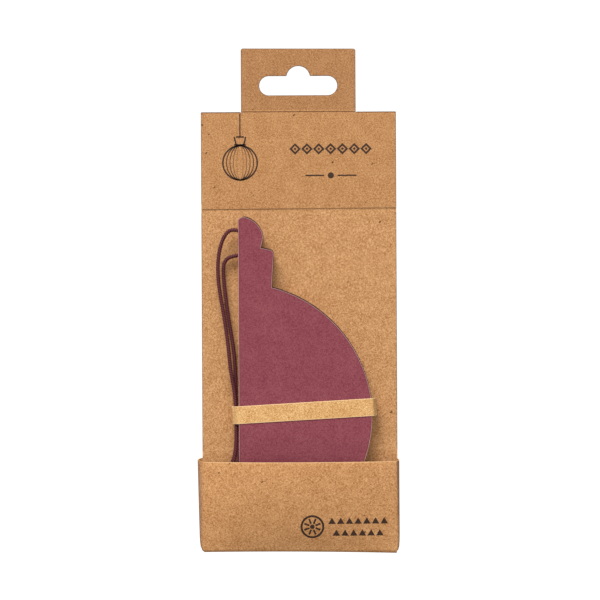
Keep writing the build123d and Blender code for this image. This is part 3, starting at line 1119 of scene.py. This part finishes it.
# Bauble
@dataclass
class FoldedBauble:
    """The flat-folded bauble: two board covers, and a stack of thin leaves between them.

    Attributes:
        spine: X of the straight spine.
        arcs: Start, passing point and end of each arc of the outline, as x and z in millimetres; the
            gaps between them are straight.
    """

    spine: float = -24.7 * MM
    arcs: tuple = (
        ((-24.7, -63.2), (-23.0, -62.3), (-20.7, -62.7)),
        ((-20.7, -62.7), (-16.5, -65.8), (-14.7, -70.1)),
        ((-14.7, -70.1), (-15.0, -72.2), (-15.7, -74.8)),
        ((-12.2, -75.5), (-10.9, -76.1), (-10.4, -77.5)),
    )
    ball_start_z: float = -90.9
    ball_z: float = -143.3
    ball_r: float = 54.1
    board: float = 0.5 * MM
    back_y: float = -0.2 * MM
    leaves: int = 32
    leaf: float = 0.202 * MM
    out_play: tuple[float, float] = (-0.30, 0.06)
    up_play: tuple[float, float] = (-0.12, 0.08)
    back_shift: tuple[float, float] = (0.12, 0.34)
    splay_play: tuple[float, float] = (0.6, 1.0)
    shade_leaves: int = 3
    shade_leaves_proud: tuple[float, float] = (0.10, 0.44)
    block: float = 6.4 * MM
    pinched: float = 1.0 * MM
    pinch_z: float = -155.0 * MM
    pinch_run: float = 43.1 * MM
    pinch_soft: float = 0.1
    row: float = 3.0 * MM
    splay: float = 1.2 * MM
    splay_z: float = -146.0 * MM
    splay_run: float = 14.0 * MM
    rim: float = 0.42 * MM
    rim_depth: float = 0.035 * MM
    edge_bevel: float = 0.16 * MM
    facing: float = 0.7
    ring_play: float = 1.3
    smooth_angle: float = 30.0
    free_from: float = 3 * MM
    arc_step: float = 1.4

    def ball_start(self) -> tuple[float, float]:
        """Where the collar's side meets the ball, in millimetres."""
        spine = self.spine / MM
        return (spine + math.sqrt(self.ball_r ** 2 - (self.ball_start_z - self.ball_z) ** 2),
                self.ball_start_z)

    def silhouette(self) -> Piece:
        """The flat outline, drawn by spinning and extruding one corner, and filled.

        Returns:
            A flat face at y = 0, cut into rows where it will bend.
        """
        spine = self.spine / MM
        ball = (self.ball_start(), (spine + self.ball_r, self.ball_z), (spine, self.ball_z - self.ball_r))
        arcs = (*self.arcs, ball)
        start = arcs[0][0]
        bpy.ops.object.select_all(action="DESELECT")
        bpy.ops.mesh.primitive_plane_add(size=MM, location=(start[0] * MM, 0, start[1] * MM))
        shape = Bench.named("bauble_silhouette")
        at = Vector(start)
        with Bench.editing(shape):
            bpy.ops.mesh.select_all(action="SELECT")
            bpy.ops.mesh.merge(type="CENTER")
            for points in arcs:
                first, middle, last = (Vector(point) for point in points)
                if (first - at).length > 0.001:
                    step = (first - at) * MM
                    bpy.ops.mesh.extrude_region_move(TRANSFORM_OT_translate={"value": (step.x, 0, step.y)})
                centre, turn = arc_through(first, middle, last)
                bend = (first - centre).length * abs(turn)
                bpy.ops.mesh.spin(steps=max(6, round(bend / self.arc_step)), angle=turn,
                                  center=(centre.x * MM, 0, centre.y * MM), axis=(0, 1, 0))
                at = last
            bpy.ops.mesh.select_all(action="SELECT")
            bpy.ops.mesh.remove_doubles(threshold=0.001 * MM)
            bpy.ops.mesh.edge_face_add()
            level = self.splay_z
            while level > (self.ball_z - self.ball_r) * MM + self.row:
                bpy.ops.mesh.select_all(action="SELECT")
                bpy.ops.mesh.bisect(plane_co=(0, 0, level), plane_no=(0, 0, 1))
                level -= self.row
        return shape

    def lean(self, z: float) -> float:
        """Share of the pinch at a height: nothing above its start, and then growing evenly."""
        share, soft = (self.pinch_z - z) / self.pinch_run, self.pinch_soft
        if abs(share) < soft:
            return (share + soft) ** 2 / (4 * soft)
        return max(share, 0.0)

    def layer(self, silhouette: Piece, name: str, share: float, proud: float,
              shift: tuple[float, float], splayed: float = 0.0) -> Piece:
        """A copy of the outline at its own depth in the block.

        Args:
            silhouette: The flat outline.
            name: The layer's name.
            share: Its place through the leaves, from 0 at the back to 1 at the front.
            proud: How far in front of that place it lies.
            shift: How far its free edge lies out and up.
            splayed: Share by which its spine edge spreads out below the band.

        Returns:
            The open sheet.
        """
        sheet = Bench.copied(silhouette, name)
        top = self.back_y - self.board
        for corner in sheet.data.vertices:
            x, _, z = corner.co
            free = min(1.0, max(0.0, (x - self.spine) / self.free_from))
            below = min(1.0, max(0.0, (self.splay_z - z) / self.splay_run))
            x -= (1 - free) * self.splay * splayed * below
            depth = mix_between(self.block, self.pinched, self.lean(z)) * share
            corner.co = (x + shift[0] * free, top - depth - proud, z + shift[1] * free)
        return sheet

    def cover(self, silhouette: Piece, name: str, share: float, proud: float) -> Piece:
        """A board cover with a pressed rim, tinted darker as painted shade, and a pale cut edge.

        Args:
            silhouette: The flat outline.
            name: The cover's name.
            share: Its place through the leaves.
            proud: How far in front of that place its middle lies.

        Returns:
            The cover.
        """
        cover = self.layer(silhouette, name, share, proud, (0.0, 0.0))
        Bench.dressed(cover, BURGUNDY, BURGUNDY_EDGE, PRESSED_RIM_SHADE)
        Bench.finish_with(cover, "SOLIDIFY", thickness=self.board, offset=0.0, material_offset_rim=1)
        Bench.faced_outwards(cover)
        for sign in (-1, 1):
            for polygon in cover.data.polygons:
                polygon.select = sign * polygon.normal.y > self.facing
            with Bench.editing(cover, Part.FACE):
                bpy.ops.mesh.inset(thickness=self.edge_bevel, depth=0)
                bpy.ops.mesh.inset(thickness=self.rim, depth=0)
                bpy.ops.transform.translate(value=(0, -sign * self.rim_depth, 0))
        self.dress_rim(cover)
        Bench.smoothed(cover, self.smooth_angle)
        return cover

    def dress_rim(self, cover: Piece) -> None:
        """Gives the two narrow rings round the cover's edge their finishes: the pale cut edge outside, and
        inside it the pressed rim in darker burgundy as painted shade.
        """
        mesh = cover.data
        for polygon in mesh.polygons:
            width = polygon.area / max((mesh.vertices[a].co - mesh.vertices[b].co).length
                                       for a, b in polygon.edge_keys)
            if abs(polygon.normal.y) > self.facing and width < self.ring_play * self.rim:
                polygon.material_index = 1 if width < self.ring_play * self.edge_bevel else 2

    def leaf_stack(self, silhouette: Piece) -> Piece:
        """The leaves between the covers, each lying a little out of line; the front few, near black, peek
        out as painted shade.

        Args:
            silhouette: The flat outline.

        Returns:
            All leaves as one piece.
        """
        chance = random.Random(SEED)
        sheets = []
        for index in range(self.leaves):
            share = (index + 0.5) / self.leaves
            out = chance.uniform(*self.out_play) + self.back_shift[0] * (1 - share)
            up = chance.uniform(*self.up_play) + self.back_shift[1] * (1 - share)
            # The front leaves stand proud in near black as painted shade.
            if index >= self.leaves - self.shade_leaves:
                out, up = self.shade_leaves_proud
            splayed = math.sin(math.pi * share) * chance.uniform(*self.splay_play)
            sheets.append(self.layer(silhouette, f"leaf_{index}", share, 0.0, (out * MM, up * MM), splayed))
        stack = Bench.joined("leaf_stack", sheets)
        Bench.dressed(stack, LEAF, LEAF_EDGE, SHADE_LEAF)
        Bench.finish_with(stack, "SOLIDIFY", thickness=self.leaf, offset=0.0, material_offset_rim=1)
        # Faces of the front leaves take the near-black painted shade.
        for polygon in stack.data.polygons:
            at = polygon.center
            depth = mix_between(self.block, self.pinched, self.lean(at.z))
            if self.back_y - self.board - at.y > depth * (1 - self.shade_leaves / self.leaves):
                polygon.material_index = 2
        return stack

    def build(self) -> list[Piece]:
        """Builds the bauble.

        Returns:
            The front cover, the leaves and the back cover.
        """
        silhouette = self.silhouette()
        half_board = self.board / 2
        front = self.cover(silhouette, "front_board", 1.0, half_board)
        back = self.cover(silhouette, "back_board", 0.0, -half_board)
        stack = self.leaf_stack(silhouette)
        bpy.data.objects.remove(silhouette)
        for piece, node, slot in ((front, "front_cover", "burgundy_board"),
                                  (stack, "leaf_block", "burgundy_leaves"),
                                  (back, "back_cover", "burgundy_board")):
            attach(piece, "root")
            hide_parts(node)
        return [front, stack, back]


# Band
@dataclass
class Band:
    """The kraft band round the bauble and its cord: one strip, folded round six soft corners."""

    thickness: float = 0.30 * MM
    width: float = 7.2 * MM
    painted_highlight_width: float = 0.28 * MM
    edge_bevel: float = 0.09 * MM
    bevel_angle: float = 60.0
    smooth_angle: float = 40.0
    bend_steps: int = 6
    middle_z: float = -141.3 * MM
    tilt: float = 3.2
    corner_r: float = 0.9 * MM
    corners: tuple = (
        (-25.35, -7.6), (-27.3, -5.4), (-27.3, -2.6), (-25.35, -0.2),
        (29.85, -0.2), (31.1, -2.8), (31.1, -5.0), (29.85, -7.6),
    )

    def loop(self) -> list[Point]:
        """Points round the band's middle line, its corners rounded.

        Returns:
            The points at the height of the band's middle, before it tilts.
        """
        shape = [Vector(corner) * MM for corner in self.corners]
        out = []
        for index, corner in enumerate(shape):
            before, after = shape[index - 1] - corner, shape[(index + 1) % len(shape)] - corner
            turn = math.pi - before.angle(after)
            run = (self.corner_r + self.thickness / 2) * math.tan(turn / 2)
            first, last = corner + before.normalized() * run, corner + after.normalized() * run
            for step in range(self.bend_steps + 1):
                share = step / self.bend_steps
                out.append(first * (1 - share) ** 2 + corner * 2 * share * (1 - share) + last * share ** 2)
        centre = sum(out, Vector((0.0, 0.0))) / len(out)
        grown = []
        for index, point in enumerate(out):
            ahead = out[(index + 1) % len(out)] - out[index - 1]
            outward = Vector((ahead.y, -ahead.x)).normalized()
            if outward.dot(point - centre) < 0:
                outward = -outward
            grown.append(point + outward * self.thickness / 2)
        return grown

    def build(self) -> Piece:
        """Builds the band.

        Returns:
            The band.
        """
        loop = self.loop()
        loop.append(loop[0])
        rise, run = math.sin(math.radians(self.tilt)), math.cos(math.radians(self.tilt))
        inner = self.width / 2 - self.painted_highlight_width
        rows = [-self.width / 2, *(inner * (step / 2 - 1) for step in range(5)), self.width / 2]
        band = Bench.grid("paper_band", loop, rows, lambda at, up: (
            at.x * run - up * rise, at.y, self.middle_z + at.x * rise + up * run))
        band = Bench.joined("paper_band", [band], merge=0.002 * MM)
        Bench.dressed(band, BAND_PAPER, BAND_EDGE_AND_HIGHLIGHT)
        Bench.finish_with(band, "SOLIDIFY", thickness=self.thickness, offset=0.0, use_even_offset=True,
                          material_offset_rim=1)
        Bench.faced_outwards(band)
        # Strips along the long edges take the pale tint: the real cut edge on the rims, a painted highlight
        # on the faces.
        for polygon in band.data.polygons:
            height = (polygon.center.z - self.middle_z) * run - polygon.center.x * rise
            if abs(height) > inner:
                polygon.material_index = 1
        Bench.finish_with(band, "BEVEL", width=self.edge_bevel, segments=2, limit_method="ANGLE",
                          angle_limit=math.radians(self.bevel_angle), material=1)
        Bench.smoothed(band, self.smooth_angle)
        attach(band, "root")
        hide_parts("band")
        return band


# Print
@dataclass
class Print:
    """Plain brown marks on the card: a line-drawn bauble, a row of lozenges, a rosette and a garland.

    Places and sizes are in millimetres, apart from the first three.

    Attributes:
        proud: How far the ink stands off the card.
        card_front: The header's front face.
        line: Width of a drawn line.
        bauble: The ball's middle, as x and z, and its radius.
        thread: Height of the thread's middle, and its length.
        thread_line: Its width as a share of a drawn line's.
        cap_rims: Height and width of the cap's two rims.
        cap_side: How far out, how high, how long and how slanted its sides are.
        ribs: Width of each rib as a share of the ball's.
        rib_line: Width of a rib's line as a share of a drawn line's.
        lozenge_at: The first lozenge's middle.
        lozenge: Its radius, its line, and the radius of its core.
        rule_at: The middle of the rule.
        rule: How far out its two bars are, and their length and width.
        rosette_at: The disc's middle and radius.
        petal: How far out each open petal is, and its length and width.
        garland_z: Height of each row.
        triangle: A triangle's radius.
    """

    proud: float = 0.025 * MM
    card_front: float = -0.45 * MM
    line: float = 0.62 * MM
    bauble: tuple = (-24.0, -39.6, 7.35)
    thread: tuple = (-24.2, 9.4)
    thread_line: float = 0.8
    cap_rims: tuple = ((-29.0, 3.2), (-32.2, 4.8))
    cap_side: tuple = (1.95, -30.6, 3.4, 14)
    ribs: tuple = (0.18, 0.38, 0.58, 0.78)
    rib_line: float = 0.75
    lozenge_at: tuple = (-1.4, -34.0)
    lozenge: tuple = (2.35, 0.75, 0.62)
    lozenge_pitch: float = 4.85
    rule_at: tuple = (13.2, -44.9)
    rule: tuple = (6.6, 7.6, 0.55)
    rule_dot: float = 1.25
    rosette_at: tuple = (4.9, -188.3, 4.85)
    petal: tuple = (2.45, 2.2, 0.75)
    garland_z: tuple = (-186.3, -191.3)
    garland_x: float = 12.9
    garland_pitch: float = 3.55
    triangle: float = 1.75
    pocket: PocketShape = field(default_factory=PocketShape)

    @staticmethod
    def disc(x: float, z: float, radius: float, sides: int = 64) -> Piece:
        """A flat filled disc or polygon that faces the front."""
        bpy.ops.object.select_all(action="DESELECT")
        bpy.ops.mesh.primitive_circle_add(vertices=sides, radius=radius * MM, fill_type="NGON",
                                          location=(x * MM, 0, z * MM), rotation=(math.pi / 2, 0, 0))
        return Bench.named("ink_disc")

    def ring(self, x: float, z: float, radius: float, line: float, sides: int = 64) -> Piece:
        """A flat ring, inset from a disc."""
        ring = self.disc(x, z, radius, sides)
        with Bench.editing(ring, Part.FACE):
            bpy.ops.mesh.select_all(action="SELECT")
            bpy.ops.mesh.inset(thickness=line * MM, depth=0)
            bpy.ops.mesh.delete(type="FACE")
        return ring

    @staticmethod
    def bar(x: float, z: float, width: float, height: float, turn: float = 0.0) -> Piece:
        """A flat bar that faces the front, turned by some degrees."""
        bpy.ops.object.select_all(action="DESELECT")
        bpy.ops.mesh.primitive_plane_add(size=1, location=(x * MM, 0, z * MM),
                                         rotation=(math.pi / 2, math.radians(turn), 0))
        bpy.context.active_object.scale = (width * MM, height * MM, 1)
        return Bench.named("ink_bar")

    def little_bauble(self) -> Piece:
        """The line-drawn bauble on the header's left: ball, ribs, cap and thread."""
        (x, z, radius), line = self.bauble, self.line / MM
        thread_z, length = self.thread
        shapes = [self.ring(x, z, radius, line), self.bar(x, thread_z, line * self.thread_line, length)]
        shapes += [self.bar(x, cap_z, width, line) for cap_z, width in self.cap_rims]
        out, cap_z, height, lean = self.cap_side
        shapes += [self.bar(x + sign * out, cap_z, line, height, sign * lean) for sign in (-1, 1)]
        for share in self.ribs:
            rib = self.ring(x, z, radius, line * self.rib_line)
            for corner in rib.data.vertices:
                corner.co.x = mix_between(x * MM, corner.co.x, share)
            shapes.append(rib)
        return Bench.joined("ink_little_bauble", shapes)

    def lozenges(self) -> Piece:
        """The row of lozenges on the header's right, over a short rule with a dot."""
        (first_x, z), (outer, line, inner), shapes = self.lozenge_at, self.lozenge, []
        for index in range(7):
            x = first_x + index * self.lozenge_pitch
            shapes.append(self.ring(x, z, outer, line, sides=4))
            shapes.append(self.disc(x, z, inner, sides=4))
        (x, z), (out, width, height), dot = self.rule_at, self.rule, self.rule_dot
        shapes += [self.bar(x + sign * out, z, width, height) for sign in (-1, 1)]
        shapes.append(self.disc(x, z, dot, sides=24))
        return Bench.joined("ink_lozenges", shapes)

    def rosette(self) -> Piece:
        """The disc on the pocket, with eight petals left open."""
        (x, z, radius), (out, length, width) = self.rosette_at, self.petal
        shapes = [self.ring(x, z, radius, width + 0.1), self.disc(x, z, width + 0.2, sides=24)]
        for index in range(8):
            angle = math.radians(360 * (index + 0.5) / 8)
            shapes.append(self.bar(x + out * math.cos(angle), z + out * math.sin(angle), length, width,
                                   -math.degrees(angle)))
        return Bench.joined("ink_rosette", shapes)

    def garland(self) -> Piece:
        """Two rows of small triangles beside the rosette."""
        shapes = []
        for row, z in enumerate(self.garland_z):
            for index in range(7 - row):
                x = self.garland_x + self.garland_pitch * (index + row / 2)
                shapes.append(self.disc(x, z, self.triangle, sides=3))
        return Bench.joined("ink_garland", shapes)

    def pressed_on(self, mark: Piece, surface: Callable[[float, float], float]) -> None:
        """Divides a flat mark finely and lays it on a surface.

        Args:
            mark: A flat mark.
            surface: The surface's y at an x and a z.
        """
        with Bench.editing(mark, Part.FACE):
            bpy.ops.mesh.select_all(action="SELECT")
            bpy.ops.mesh.quads_convert_to_tris()
            for _ in range(2):
                bpy.ops.mesh.subdivide(number_cuts=1)
        for corner in mark.data.vertices:
            corner.co.y = surface(corner.co.x, corner.co.z) - self.proud
        Bench.faced_outwards(mark)
        Bench.dressed(mark, INK)
        Bench.finish_with(mark, "SOLIDIFY", thickness=self.proud, offset=0.0)
        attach(mark, "root")

    def pocket_y(self, x: float, z: float) -> float:
        """The pocket's outer surface at a place on its front."""
        level = (z - self.pocket.base_z) / (self.pocket.lip_z - self.pocket.base_z)
        return self.pocket.front_y(x, level)

    def build(self) -> list[Piece]:
        """Builds every mark.

        Returns:
            The marks.
        """
        on_header = [self.little_bauble(), self.lozenges()]
        on_pocket = [self.rosette(), self.garland()]
        for mark in on_header:
            self.pressed_on(mark, lambda x, z: self.card_front)
        for mark in on_pocket:
            self.pressed_on(mark, self.pocket_y)
        return on_header + on_pocket


# Everything, in order
def main() -> None:
    """Builds the scene."""
    logging.basicConfig(level=logging.INFO, format="%(name)s: %(message)s")
    random.seed(SEED)
    Studio().build()
    pieces = [TwistedCord().build(), HangCard().build(), *FoldedBauble().build(), Band().build(),
              *Print().build()]
    for piece in pieces:
        log.info("%s: %d faces", piece.name, len(piece.data.polygons))


if __name__ == "__main__":
    main()
